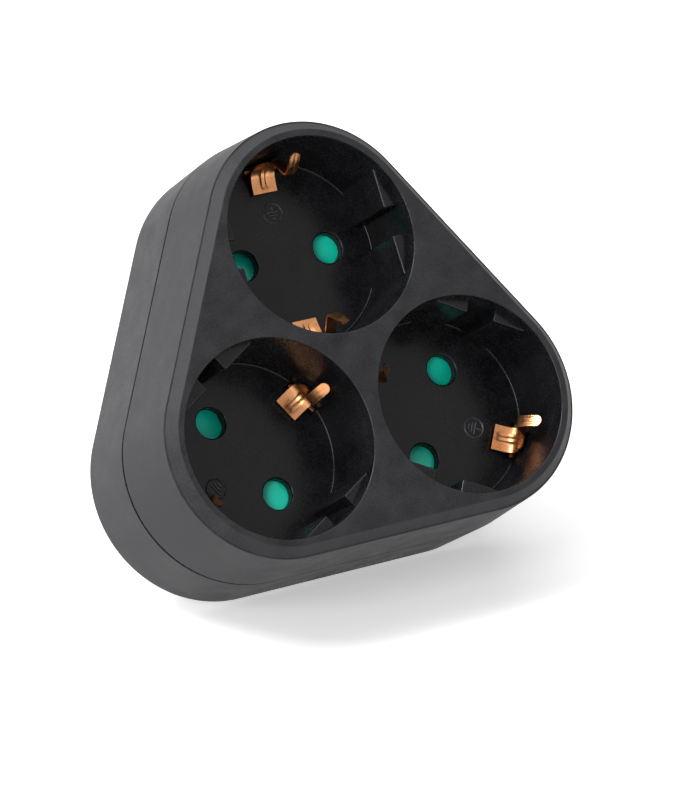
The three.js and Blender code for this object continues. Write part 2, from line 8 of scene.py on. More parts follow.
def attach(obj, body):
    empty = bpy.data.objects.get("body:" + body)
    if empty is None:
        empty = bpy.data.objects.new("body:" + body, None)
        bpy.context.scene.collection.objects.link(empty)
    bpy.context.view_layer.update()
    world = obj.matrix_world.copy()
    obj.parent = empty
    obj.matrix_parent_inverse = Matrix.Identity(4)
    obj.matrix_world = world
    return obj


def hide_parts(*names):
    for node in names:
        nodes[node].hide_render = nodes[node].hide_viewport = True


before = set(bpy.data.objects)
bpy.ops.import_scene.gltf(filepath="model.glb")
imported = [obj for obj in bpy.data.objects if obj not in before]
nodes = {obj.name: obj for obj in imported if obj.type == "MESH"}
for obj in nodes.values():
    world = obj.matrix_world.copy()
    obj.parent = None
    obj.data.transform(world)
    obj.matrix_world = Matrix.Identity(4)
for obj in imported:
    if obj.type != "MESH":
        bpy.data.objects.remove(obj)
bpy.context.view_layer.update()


# Camera: a long lens from the lower left, tilted so that the adapter leans as it does on the table.
# Its place and turn come from fitting the three round wells, their pin holes and the casing's edge.
def placed(name, data):
    """A new object in the scene"""
    item = bpy.data.objects.new(name, data)
    bpy.context.scene.collection.objects.link(item)
    return item


camera_data = bpy.data.cameras.new("camera")
camera_data.lens = 235.5
camera_data.clip_start = 0.1
camera_data.clip_end = 20
camera = placed("camera", camera_data)
bpy.context.scene.camera = camera
camera_right = Vector((0.8615, -0.4190, -0.2867)).normalized()
camera_back = Vector((-0.4667, -0.8759, -0.1224)).normalized()
camera_up = camera_back.cross(camera_right).normalized()
camera_turn = Matrix((camera_right, camera_up, camera_back)).transposed().to_4x4()
camera.matrix_world = Matrix.Translation((-0.4732, -0.9351, -0.1311)) @ camera_turn

# Front cover: one moulding of black glass-filled nylon, with the face, three wells, their guide lugs
# and their floors. The outside is spark-eroded to a fine matt grain, and the wells are left smoother.
# Sizes are in millimetres with +Z towards the user and z = 0 on the plug's end, and are turned upright last.
UPRIGHT = Matrix.Rotation(math.radians(90), 4, "X") @ Matrix.Scale(0.001, 4)
CORNERS = {"top": 90, "left": 210, "right": 330}
SOCKET_SPREAD = 24.6
FRONT_Z = 55.7
FLOOR_Z = FRONT_Z - 17
FLOOR_UNDER_Z = FLOOR_Z - 2
SEAM_Z = FRONT_Z - 20
GAP = 0.3
OVERRUN = 1
WELL_STEPS = 128
FACE_SPREAD, FACE_RADIUS, FACE_ROUND = SOCKET_SPREAD, 21.2, 0.35
CREASE_SPREAD, CREASE_RADIUS, CREASE_DROP = 24.8, 23.1, 2.0
SEAM_SPREAD, SEAM_RADIUS = 25.4, 23.7
CHAMBER_RADIUS, FACE_THICKNESS = SEAM_RADIUS - 1, 2.2
HOLLOW_SPREAD, HOLLOW_RADIUS = SOCKET_SPREAD - 3, CREASE_RADIUS - 0.7
RIM_RADIUS, RIM_ROUND, TUBE_WALL = 19.75, 0.3, 1.6
WELL_FLOOR_RADIUS, WELL_FLOOR_ROUND = 19.1, 0.4
LUG_INNER = {-1: 16.9, 1: 16.2}
LUG_OUTER, LUG_NEAR, LUG_FAR, LUG_DROP, LUG_EDGE = 21.5, 2.8, 11, 2.5, 0.5
PIN_X = 9.5
HOLE_RADIUS = 3.05
HOLE_EDGE = [(0, -0.45), (0.05, -0.27), (0.18, -0.12), (0.4, 0), (0.55, 0.5)]
SLOT_HALF, SLOT_NEAR, SLOT_FAR = 3.8, 16.9, 18.7
HUB_RADIUS, HUB_LOW_Z, HUB_CHAMFER = 1.5, 32.7, 0.15
POST_RADIUS, POST_LOW_Z, POST_TOP_Z, POST_Y = 1.6, 32.4, 37, 13
PEG_RADIUS, PEG_LOW_Z, PEG_CHAMFER = 0.8, 31.35, 0.1
SIGN_Y, SIGN_INNER, SIGN_OUTER, SIGN_SUNK, SIGN_RISE = 9.1, 1.8, 2.2, 0.3, 0.22
SIGN_STROKE, SIGN_STROKE_EDGE = 0.17, 0.16
SIGN_BARS = [(1.4, 0.15), (1.05, -0.5), (0.6, -1.15)]
SCREW_SPREAD, PILOT_RADIUS, PILOT_TOP_Z = 31, 1.75, 43.8
BOSS_RADIUS, BOSS_TOP_Z = 3.6, FRONT_Z - 2


def at(radius, angle):
    """A point in the plane of the face, from its distance and direction from the middle"""
    return radius * math.cos(math.radians(angle)), radius * math.sin(math.radians(angle))


def arc(centre_r, centre_z, radius, start, end, steps):
    """Points of a round in a profile of [radius, height] points"""
    turns = [start + (end - start) * step / steps for step in range(steps + 1)]
    return [(centre_r + at(radius, turn)[0], centre_z + at(radius, turn)[1]) for turn in turns]


def tidied(shape):
    """A shape whose doubled points are merged and whose faces look outward"""
    bmesh.ops.remove_doubles(shape, verts=shape.verts, dist=1e-4)
    bmesh.ops.recalc_face_normals(shape, faces=shape.faces)
    return shape


def moved(shape, x, y, z=0):
    bmesh.ops.translate(shape, verts=shape.verts, vec=(x, y, z))
    return shape


def spun(profile, steps=64, closed=False):
    """A turned shape: its profile runs from axis to axis, or closes on itself as a ring"""
    shape = bmesh.new()
    verts = [shape.verts.new((radius, 0, z)) for radius, z in profile]
    ends = verts[1:] + [verts[0]] if closed else verts[1:]
    edges = [shape.edges.new(pair) for pair in zip(verts, ends)]
    bmesh.ops.spin(
        shape, geom=verts + edges, axis=(0, 0, 1), cent=(0, 0, 0),
        angle=2 * math.pi, steps=steps, use_merge=True,
    )
    return tidied(shape)


def rod(radius, low, high, x=0, y=0, steps=48):
    return moved(spun([(0, low), (radius, low), (radius, high), (0, high)], steps), x, y)


def block(x0, x1, y0, y1, z0, z1, edge=0, steps=3):
    """A box, with its edges rounded where an edge radius is given"""
    shape = bmesh.new()
    bmesh.ops.create_cube(shape, size=1)
    bmesh.ops.scale(shape, verts=shape.verts, vec=(x1 - x0, y1 - y0, z1 - z0))
    moved(shape, (x0 + x1) / 2, (y0 + y1) / 2, (z0 + z1) / 2)
    if edge:
        bmesh.ops.bevel(
            shape, geom=shape.edges[:], offset=edge, offset_type="OFFSET", segments=steps,
            profile=0.5, affect="EDGES", material=-1, clamp_overlap=True,
        )
    return shape


def side_block(x_side, y_side, x_reach, y_reach, z_reach, edge):
    """A rounded box at one side of both axes, from its distances to them"""
    xs = sorted(x_side * x for x in x_reach)
    ys = sorted(y_side * y for y in y_reach)
    return block(*xs, *ys, *z_reach, edge)


def hull(levels, steps=144):
    """The casing's round-cornered triangle through levels of (corner distance, corner radius, height)"""
    shape = bmesh.new()
    for spread, radius, z in levels:
        for angle in CORNERS.values():
            place = Matrix.Translation((*at(spread, angle), z))
            bmesh.ops.create_circle(shape, segments=steps, radius=radius, matrix=place)
    found = bmesh.ops.convex_hull(shape, input=shape.verts[:], use_existing_faces=False)
    left_over = found["geom_interior"] + found["geom_unused"]
    inside = {item for item in left_over if isinstance(item, bmesh.types.BMVert)}
    bmesh.ops.delete(shape, geom=list(inside), context="VERTS")
    loose = [edge for edge in shape.edges if not edge.link_faces]
    bmesh.ops.delete(shape, geom=loose, context="EDGES")
    return tidied(shape)


def meshed(name, shape):
    """The mesh of a shape, which is used up"""
    mesh = bpy.data.meshes.new(name)
    shape.to_mesh(mesh)
    shape.free()
    return mesh


def gathered(shapes):
    """Several shapes in one mesh"""
    whole = bmesh.new()
    for shape in shapes:
        mesh = meshed("shape", shape)
        whole.from_mesh(mesh)
        bpy.data.meshes.remove(mesh)
    return whole


def in_socket(shape, angle):
    """A shape drawn with x along a socket's pins and y outward, moved to its corner"""
    turn = Matrix.Rotation(math.radians(angle - 90), 4, "Z")
    place = Matrix.Translation((*at(SOCKET_SPREAD, angle), 0)) @ turn
    bmesh.ops.transform(shape, verts=shape.verts, matrix=place)
    return shape


def at_each_socket(make):
    return gathered([in_socket(make(), angle) for angle in CORNERS.values()])


def combined(first, second, operation):
    """One shape joined to, cut from or limited by another"""
    objects = [placed("shape", meshed("shape", shape)) for shape in (first, second)]
    modifier = objects[0].modifiers.new("boolean", "BOOLEAN")
    modifier.object = objects[1]
    modifier.operation = operation
    modifier.solver = "EXACT"
    result = bmesh.new()
    result.from_object(objects[0], bpy.context.evaluated_depsgraph_get())
    for item in objects:
        mesh = item.data
        bpy.data.objects.remove(item)
        bpy.data.meshes.remove(mesh)
    return result


def finished(name, shape, materials, replaces, body="casing", crease=32, finish_at=None):
    """The finished piece: upright and in metres, smooth but for its sharp edges.
    finish_at(point) gives the number of the material for the face at a point"""
    bmesh.ops.remove_doubles(shape, verts=shape.verts, dist=2e-4)
    bmesh.ops.dissolve_degenerate(shape, edges=shape.edges, dist=1e-4)
    for face in shape.faces:
        face.smooth = True
        if finish_at:
            face.material_index = int(finish_at(face.calc_center_median()))
    for edge in shape.edges:
        edge.smooth = len(edge.link_faces) == 2 and edge.calc_face_angle(0) < math.radians(crease)
    bmesh.ops.transform(shape, verts=shape.verts, matrix=UPRIGHT)
    mesh = meshed(name, shape)
    for material in materials:
        mesh.materials.append(material)
    piece = placed(name, mesh)
    weighted = piece.modifiers.new("weighted_normals", "WEIGHTED_NORMAL")
    weighted.keep_sharp = True
    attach(piece, body)
    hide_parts(*replaces)
    return piece


def linear(code):
    """The linear colour of an sRGB hex code"""
    parts = [int(code[place:place + 2], 16) / 255 for place in (1, 3, 5)]
    return [part / 12.92 if part <= 0.04045 else ((part + 0.055) / 1.055) ** 2.4 for part in parts] + [1]


def add_node(owner, kind, sockets, **settings):
    """A node with its settings; a socket is given a value or the output that feeds it"""
    tree = owner.node_tree
    node = tree.nodes.new(kind)
    for name, value in settings.items():
        setattr(node, name, value)
    for name, value in sockets.items():
        if isinstance(value, bpy.types.NodeSocket):
            tree.links.new(value, node.inputs[name])
        else:
            node.inputs[name].default_value = value
    return node


def new_material(name):
    material = bpy.data.materials.new(name)
    material.use_nodes = True
    material.node_tree.nodes.clear()
    return material


def shown(material, shader):
    add_node(material, "ShaderNodeOutputMaterial", {"Surface": shader.outputs[0]})
    return material


def noise(material, pattern_mm, **sockets):
    """A noise whose pattern repeats about every pattern_mm on the real piece"""
    place = add_node(material, "ShaderNodeTexCoord", {}).outputs["Object"]
    values = {"Vector": place, "Scale": 1000 / pattern_mm, **sockets}
    return add_node(material, "ShaderNodeTexNoise", values).outputs["Fac"]


def moulded_black(name, dark, light, grain_mm, depth_mm, rough_low, rough_high, specular):
    """Black moulded plastic: a grain from the tool, and a faint cloudiness where the melt flowed"""
    cloud_mm = 5
    material = new_material(name)
    grain = noise(material, grain_mm, Detail=3.0, Roughness=0.6)
    cloud = noise(material, cloud_mm, Detail=3.0)
    both = add_node(material, "ShaderNodeMix", {"Factor": 0.45, "A": grain, "B": cloud}, data_type="FLOAT")
    spread = add_node(
        material, "ShaderNodeMapRange", {"Value": both.outputs[0], "From Min": 0.35, "From Max": 0.65},
    )
    colour = add_node(
        material, "ShaderNodeMix", {"Factor": spread.outputs[0], "A": linear(dark), "B": linear(light)},
        data_type="RGBA",
    )
    roughness = add_node(
        material, "ShaderNodeMapRange",
        {"Value": spread.outputs[0], "To Min": rough_low, "To Max": rough_high},
    )
    bump = add_node(
        material, "ShaderNodeBump", {"Height": grain, "Distance": depth_mm / 1000, "Strength": 1.0},
    )
    return shown(material, add_node(
        material, "ShaderNodeBsdfPrincipled",
        {
            "Base Color": colour.outputs[2], "Roughness": roughness.outputs[0], "IOR": 1.53,
            "Specular IOR Level": specular, "Normal": bump.outputs[0],
        },
    ))


# The grain outside is about 0.1 mm on the real tool and is drawn coarser, so that it shows.
matt_nylon = moulded_black(
    "spark_eroded_black_nylon", "#0e0e10", "#2b2b2f",
    grain_mm=0.35, depth_mm=0.06, rough_low=0.4, rough_high=0.62, specular=0.21,
)
# The same black nylon, coloured darker than the matt outside: painted shade in the deep wells and in the open
# joint line. Its lower roughness is the wells' real smoother finish.
smooth_nylon_painted_shade = moulded_black(
    "smooth_black_nylon_painted_shade", "#060608", "#1a1a1d",
    grain_mm=0.5, depth_mm=0.015, rough_low=0.16, rough_high=0.32, specular=0.2,
)
# The raised sign is coloured paler than the floor round it: a painted highlight standing in for the light
# that its raised strokes catch.
pale_sign_nylon_painted_highlight = moulded_black(
    "pale_sign_black_nylon_painted_highlight", "#343437", "#505054",
    grain_mm=0.5, depth_mm=0.01, rough_low=0.25, rough_high=0.4, specular=0.35,
)


def casing_round(spread, radius, z, size, start, end, steps=4):
    """Levels of a rounded casing edge, whose round has its centre a size inside the outline"""
    return [(spread, radius - size + point[0], z + point[1]) for point in arc(0, 0, size, start, end, steps)]


def under_floor():
    """The pin that the shutter turns on, and two pegged posts for its retainer"""
    shapes = [spun([
        (0, HUB_LOW_Z), (HUB_RADIUS - HUB_CHAMFER, HUB_LOW_Z), (HUB_RADIUS, HUB_LOW_Z + HUB_CHAMFER),
        (HUB_RADIUS, POST_TOP_Z), (0, POST_TOP_Z),
    ], 32)]
    for y in (-POST_Y, POST_Y):
        post = spun([
            (0, PEG_LOW_Z), (PEG_RADIUS - PEG_CHAMFER, PEG_LOW_Z), (PEG_RADIUS, PEG_LOW_Z + PEG_CHAMFER),
            (PEG_RADIUS, POST_LOW_Z), (POST_RADIUS, POST_LOW_Z), (POST_RADIUS, POST_TOP_Z), (0, POST_TOP_Z),
        ], 32)
        shapes.append(moved(post, 0, y))
    return gathered(shapes)


def well():
    """The room of a socket, with its rim and floor rounded, less the four guide lugs"""
    room = spun([
        (0, FLOOR_Z),
        *arc(WELL_FLOOR_RADIUS - WELL_FLOOR_ROUND, FLOOR_Z + WELL_FLOOR_ROUND, WELL_FLOOR_ROUND, -90, 0, 4),
        *arc(RIM_RADIUS + RIM_ROUND, FRONT_Z - RIM_ROUND, RIM_ROUND, 178, 100, 5),
        (RIM_RADIUS + RIM_ROUND + 0.1, FRONT_Z + OVERRUN),
        (0, FRONT_Z + OVERRUN),
    ], WELL_STEPS)
    lugs = [
        side_block(
            x_side, y_side, (inner, LUG_OUTER), (LUG_NEAR, LUG_FAR),
            (FLOOR_Z - OVERRUN, FRONT_Z - LUG_DROP), LUG_EDGE,
        )
        for x_side, inner in LUG_INNER.items() for y_side in (-1, 1)
    ]
    return combined(room, gathered(lugs), "DIFFERENCE")


def floor_holes():
    """Two chamfered pin holes and two slots for the earth contact"""
    low, high = FLOOR_UNDER_Z - OVERRUN, FLOOR_Z + 0.5
    cuts = []
    for x in (-PIN_X, PIN_X):
        edge = [(HOLE_RADIUS + out, FLOOR_Z + up) for out, up in HOLE_EDGE]
        cuts.append(moved(spun([(0, low), (HOLE_RADIUS, low), *edge, (0, high)], 64), x, 0))
    for y0, y1 in ((SLOT_NEAR, SLOT_FAR), (-SLOT_FAR, -SLOT_NEAR)):
        cuts.append(block(-SLOT_HALF, SLOT_HALF, y0, y1, low, high))
    return gathered(cuts)


def earth_sign():
    """The raised earth sign: a stem on three bars that shorten, in a ring"""
    low, high = FLOOR_Z - SIGN_SUNK, FLOOR_Z + SIGN_RISE
    ring = [
        (SIGN_INNER, low), (SIGN_OUTER, low), (SIGN_OUTER, high - 0.2),
        ((SIGN_INNER + SIGN_OUTER) / 2, high), (SIGN_INNER, high - 0.2),
    ]
    shapes = [
        spun(ring, 48, closed=True),
        block(-SIGN_STROKE, SIGN_STROKE, 0.5, 1.6, low, high, SIGN_STROKE_EDGE),
    ]
    for half, y in SIGN_BARS:
        shapes.append(block(-half, half, y - SIGN_STROKE, y + SIGN_STROKE, low, high, SIGN_STROKE_EDGE))
    return moved(gathered(shapes), 0, SIGN_Y)


cap = hull([
    (CREASE_SPREAD, CREASE_RADIUS - 1.2, FRONT_Z - CREASE_DROP - 2),
    (CREASE_SPREAD, CREASE_RADIUS - 0.3, FRONT_Z - CREASE_DROP - 0.15),
    *casing_round(FACE_SPREAD, FACE_RADIUS + 0.1, FRONT_Z - FACE_ROUND, FACE_ROUND, 38, 84),
    (FACE_SPREAD, FACE_RADIUS - 0.6, FRONT_Z),
])
wall = hull([
    (SEAM_SPREAD, SEAM_RADIUS - 0.12, SEAM_Z),
    (SEAM_SPREAD, SEAM_RADIUS, SEAM_Z + 0.12),
    *casing_round(CREASE_SPREAD, CREASE_RADIUS, FRONT_Z - CREASE_DROP - 0.32, 0.2, 0, 80),
])
outer = combined(wall, cap, "UNION")
chamber = hull([
    (SEAM_SPREAD, CHAMBER_RADIUS, SEAM_Z - OVERRUN),
    (SEAM_SPREAD, CHAMBER_RADIUS, FLOOR_UNDER_Z),
])
outer = combined(outer, chamber, "DIFFERENCE")
hollow = hull([
    (HOLLOW_SPREAD, HOLLOW_RADIUS, FLOOR_UNDER_Z - GAP),
    (HOLLOW_SPREAD, HOLLOW_RADIUS, FRONT_Z - FACE_THICKNESS),
])
tubes = at_each_socket(lambda: rod(RIM_RADIUS + TUBE_WALL, FLOOR_UNDER_Z - OVERRUN, FRONT_Z, steps=96))
outer = combined(outer, combined(hollow, tubes, "DIFFERENCE"), "DIFFERENCE")
screw_places = [at(SCREW_SPREAD, angle + 180) for angle in CORNERS.values()]
bosses = gathered([rod(BOSS_RADIUS, SEAM_Z, BOSS_TOP_Z, x, y) for x, y in screw_places])
outer = combined(outer, bosses, "UNION")
outer = combined(outer, at_each_socket(under_floor), "UNION")
outer = combined(outer, at_each_socket(well), "DIFFERENCE")
outer = combined(outer, at_each_socket(floor_holes), "DIFFERENCE")
outer = combined(outer, at_each_socket(earth_sign), "UNION")
pilots = gathered([rod(PILOT_RADIUS, SEAM_Z - OVERRUN, PILOT_TOP_Z, x, y, 32) for x, y in screw_places])
outer = combined(outer, pilots, "DIFFERENCE")


def from_nearest(spread, point):
    """How far a point is from the nearest of the three places at this distance from the middle"""
    spot = Vector(point[:2])
    return min((spot - Vector(at(spread, angle))).length for angle in CORNERS.values())


def front_finish(point):
    """The material of a spot: 2 on the raised signs, whose paler colour is a painted highlight, 1 in the
    wells, whose darker colour is painted shade, and 0 elsewhere
    """
    on_sign = from_nearest(SOCKET_SPREAD + SIGN_Y, point) < SIGN_OUTER + 0.2
    if on_sign and FLOOR_Z + 0.02 < point[2] < FLOOR_Z + 0.4:
        return 2
    in_well = from_nearest(SOCKET_SPREAD, point) < RIM_RADIUS + RIM_ROUND
    return 1 if in_well and FLOOR_Z - 0.4 < point[2] < FRONT_Z - 0.03 else 0


finished(
    "casing_front", outer, [matt_nylon, smooth_nylon_painted_shade, pale_sign_nylon_painted_highlight], replaces=["front_cover"],
    finish_at=front_finish,
)

# Rear cover: the second moulding, with the plug body on its back and the posts for three screws.
# It is the same black nylon, and closes against the front along a narrow open joint line.
REAR_Z = 17.3
REAR_TOP_Z = SEAM_Z - 0.5
REAR_INNER_Z = REAR_Z + 2
REAR_SPREAD, REAR_RADIUS, REAR_ROUND, REAR_WALL = SOCKET_SPREAD, 24.05, 1.6, 2.2
PLUG_RADIUS, PLUG_ROUND = 18.5, 1.2
PLUG_HOLLOW_RADIUS, PLUG_HOLLOW_Z = 13.1, 2.6
KEY_INNER, KEY_NEAR, KEY_FAR, KEY_EDGE = 15.9, 2.3, 10.2, 0.4
RIB_REACH, RIB_HALF = 18, 2.6
EARTH_FLAT, EARTH_FLAT_HALF, EARTH_FLAT_EDGE = 15.5, 4.75, 0.3
CUT_REACH = 20
PIN_BOSS_RADIUS, PIN_BOSS_Z, PIN_BORE = 4.7, 0.3, 2.7
STRIP_SLOT_NEAR, STRIP_SLOT_FAR, STRIP_SLOT_HALF = 15.5, 16.6, 3.3
SCREW_SEAT_Z = REAR_Z + 11
SCREW_POST_RADIUS, SCREW_HEAD_BORE, SCREW_SHANK_BORE = 4.7, 3.2, 1.75

rear = hull([
    *casing_round(REAR_SPREAD, REAR_RADIUS, REAR_Z + REAR_ROUND, REAR_ROUND, -86, 0, 8),
    (SEAM_SPREAD, SEAM_RADIUS, REAR_TOP_Z - 0.15),
    (SEAM_SPREAD, SEAM_RADIUS - 0.05, REAR_TOP_Z - 0.04),
    (SEAM_SPREAD, SEAM_RADIUS - 0.14, REAR_TOP_Z),
])
rear_hollow = hull([
    (REAR_SPREAD, REAR_RADIUS - REAR_WALL, REAR_INNER_Z),
    (SEAM_SPREAD, SEAM_RADIUS - REAR_WALL, REAR_TOP_Z + OVERRUN),
])
rear = combined(rear, rear_hollow, "DIFFERENCE")
tongue_out = SEAM_RADIUS - 1.3
tongue_in = SEAM_RADIUS - REAR_WALL
tongue = combined(
    hull([(SEAM_SPREAD, tongue_out, REAR_TOP_Z - GAP), (SEAM_SPREAD, tongue_out, REAR_TOP_Z + 0.9)]),
    hull([(SEAM_SPREAD, tongue_in, REAR_TOP_Z - 1), (SEAM_SPREAD, tongue_in, REAR_TOP_Z + 2)]),
    "DIFFERENCE",
)
boss_room = gathered([
    rod(BOSS_RADIUS + GAP, REAR_TOP_Z - 0.6, REAR_TOP_Z + 3, x, y) for x, y in screw_places
])
rear = combined(rear, combined(tongue, boss_room, "DIFFERENCE"), "UNION")


def plug_body():
    """The round plug with a rounded end, two keyed flats with ribs, and the flats of the earth strips"""
    body = spun([
        (0, 0),
        *arc(PLUG_RADIUS - PLUG_ROUND, PLUG_ROUND, PLUG_ROUND, -88, 0, 6),
        (PLUG_RADIUS, REAR_Z + GAP),
        (0, REAR_Z + GAP),
    ], WELL_STEPS)
    low = -2
    cuts = [
        side_block(x_side, y_side, (KEY_INNER, CUT_REACH), (KEY_NEAR, KEY_FAR), (low, REAR_Z), KEY_EDGE)
        for x_side in (-1, 1) for y_side in (-1, 1)
    ]
    for x0, x1 in ((RIB_REACH, CUT_REACH), (-CUT_REACH, -RIB_REACH)):
        cuts.append(block(x0, x1, -RIB_HALF, RIB_HALF, low, REAR_Z))
    for y0, y1 in ((EARTH_FLAT, CUT_REACH), (-CUT_REACH, -EARTH_FLAT)):
        cuts.append(block(-EARTH_FLAT_HALF, EARTH_FLAT_HALF, y0, y1, low, REAR_Z, EARTH_FLAT_EDGE))
    for cut in cuts:
        body = combined(body, cut, "DIFFERENCE")
    quarter_turn = Matrix.Rotation(math.radians(90), 3, "Z")
    bmesh.ops.rotate(body, verts=body.verts, cent=(0, 0, 0), matrix=quarter_turn)
    return body


def screw_bore(x, y):
    """The bore of a case screw, with an opening for its head that widens at the back"""
    return moved(spun([
        (0, REAR_Z - 2), (SCREW_HEAD_BORE + 0.7, REAR_Z - 2), (SCREW_HEAD_BORE + 0.35, REAR_Z),
        (SCREW_HEAD_BORE, REAR_Z + 0.35), (SCREW_HEAD_BORE, SCREW_SEAT_Z),
        (SCREW_SHANK_BORE, SCREW_SEAT_Z), (SCREW_SHANK_BORE, SEAM_Z + OVERRUN), (0, SEAM_Z + OVERRUN),
    ]), x, y)


rear = combined(rear, plug_body(), "UNION")
plug_hollow = rod(PLUG_HOLLOW_RADIUS, PLUG_HOLLOW_Z, REAR_INNER_Z + GAP, steps=96)
rear = combined(rear, plug_hollow, "DIFFERENCE")
pin_places = (-PIN_X, PIN_X)
pin_bosses = gathered([rod(PIN_BOSS_RADIUS, PIN_BOSS_Z, REAR_INNER_Z, 0, y) for y in pin_places])
rear = combined(rear, pin_bosses, "UNION")
pin_cuts = [rod(PIN_BORE, -1, REAR_INNER_Z + 1, 0, y) for y in pin_places]
for x0, x1 in ((STRIP_SLOT_NEAR, STRIP_SLOT_FAR), (-STRIP_SLOT_FAR, -STRIP_SLOT_NEAR)):
    pin_cuts.append(block(x0, x1, -STRIP_SLOT_HALF, STRIP_SLOT_HALF, REAR_Z - 0.3, REAR_INNER_Z + 1))
rear = combined(rear, gathered(pin_cuts), "DIFFERENCE")
post_limit = hull([
    (REAR_SPREAD, REAR_RADIUS - 1.1, REAR_Z),
    (SEAM_SPREAD, SEAM_RADIUS - 1.1, REAR_TOP_Z),
    (SEAM_SPREAD, SEAM_RADIUS - 1.3, SEAM_Z),
])
posts = gathered([rod(SCREW_POST_RADIUS, REAR_Z + GAP, SEAM_Z - GAP, x, y) for x, y in screw_places])
rear = combined(rear, combined(posts, post_limit, "INTERSECT"), "UNION")
rear = combined(rear, gathered([screw_bore(x, y) for x, y in screw_places]), "DIFFERENCE")
# The faces on top of the joint lip get the darker smooth nylon: painted shade in the open joint line.
finished(
    "casing_rear", rear, [matt_nylon, smooth_nylon_painted_shade], replaces=["rear_cover"],
    finish_at=lambda point: point[2] > REAR_TOP_Z - 0.02,
)


# Shutters: a green blade behind both pin holes of each socket, moulded in acetal.
# Each turns on a pin under the floor; a coil spring and a black retainer hold it there.
def plain_finish(name, dark, light, mottle_mm, rough_low, rough_high, metallic=0.0, bump_mm=0.004):
    """A smooth finish with a slight mottle of its colour and gloss"""
    material = new_material(name)
    mottle = noise(material, mottle_mm, Detail=4.0, Roughness=0.6)
    colour = add_node(
        material, "ShaderNodeMix", {"Factor": mottle, "A": linear(dark), "B": linear(light)},
        data_type="RGBA",
    )
    roughness = add_node(
        material, "ShaderNodeMapRange", {"Value": mottle, "To Min": rough_low, "To Max": rough_high},
    )
    bump = add_node(
        material, "ShaderNodeBump", {"Height": mottle, "Distance": bump_mm / 1000, "Strength": 1.0},
    )
    return shown(material, add_node(
        material, "ShaderNodeBsdfPrincipled",
        {
            "Base Color": colour.outputs[2], "Roughness": roughness.outputs[0],
            "Metallic": metallic, "Normal": bump.outputs[0],
        },
    ))


def refinish(material, *names):
    for name in names:
        for place in nodes[name].material_slots:
            place.material = material


green_acetal = plain_finish(
    "moulded_green_acetal", "#06dcb8", "#14ecd0", mottle_mm=1.2, rough_low=0.3, rough_high=0.42,
)
retainer_nylon = plain_finish(
    "moulded_black_retainer_nylon", "#161618", "#1f1f21", mottle_mm=1.5, rough_low=0.4, rough_high=0.5,
)
spring_steel = plain_finish(
    "drawn_spring_steel", "#8d9094", "#a4a7aa", mottle_mm=0.4, rough_low=0.25, rough_high=0.4, metallic=1.0,
)
for corner in CORNERS:
    refinish(green_acetal, f"shutter_{corner}")
    refinish(spring_steel, f"shutter_spring_{corner}")
    refinish(retainer_nylon, f"shutter_retainer_{corner}")

# Earth contacts: one strap of phosphor bronze under each floor, with an arm up through a slot at each side.
# Each arm is slit into a wide arched leaf with a pressed rib and a narrow finger that flares out at its tip.
phosphor_bronze = plain_finish(
    "rolled_phosphor_bronze", "#b07040", "#dba276",
    mottle_mm=1.4, rough_low=0.2, rough_high=0.38, metallic=1.0, bump_mm=0.008,
)
ARM_Y = 18
ARM_HALF, ARM_RISE, ARM_EDGE = 3.5, 0.2, 0.12
STRAP_Z, STRAP_THICKNESS = 30.5, 0.8
SHEET_THICKNESS = 0.4
TAB_RISE, TAB_EDGE = 3, 0.08
LEAF_BENDS = [(-4.8, 0.5), (-3.6, 0.7), (-2.4, 1.0), (-1.3, 1.5), (-0.45, 2.3), (0.1, 3.3), (0.35, 4.4)]
LEAF_LEFT, LEAF_RIGHT, LEAF_TIP = -3.3, 1.95, 2.6
FINGER_BENDS = [
    (0.1, -0.5), (0.2, 3), (-0.5, 4.9), (-2.4, 6.8), (-3.6, 8.2), (-3.3, 9.5), (-2.2, 11.3), (-0.7, 13.1),
]
FINGER_HALF, FINGER_TIP = 1.13, 1.1
FINGER_SIDES = {"top": 1, "left": -1, "right": -1}
FINGER_X = {"top": 1.7, "left": 0.3, "right": 0.9}
BEND_STEPS = 7


def spline(points, steps):
    """Evenly numbered points of a smooth line through the given ones"""
    line = []
    padded = [points[0], *points, points[-1]]
    for before, start, end, after in zip(padded, padded[1:], padded[2:], padded[3:]):
        for step in range(steps):
            t = step / steps
            line.append(tuple(
                0.5 * (
                    2 * b + (c - a) * t + (2 * a - 5 * b + 4 * c - d) * t * t
                    + (3 * b - a - 3 * c + d) * t ** 3
                )
                for a, b, c, d in zip(before, start, end, after)
            ))
    line.append(points[-1])
    return line


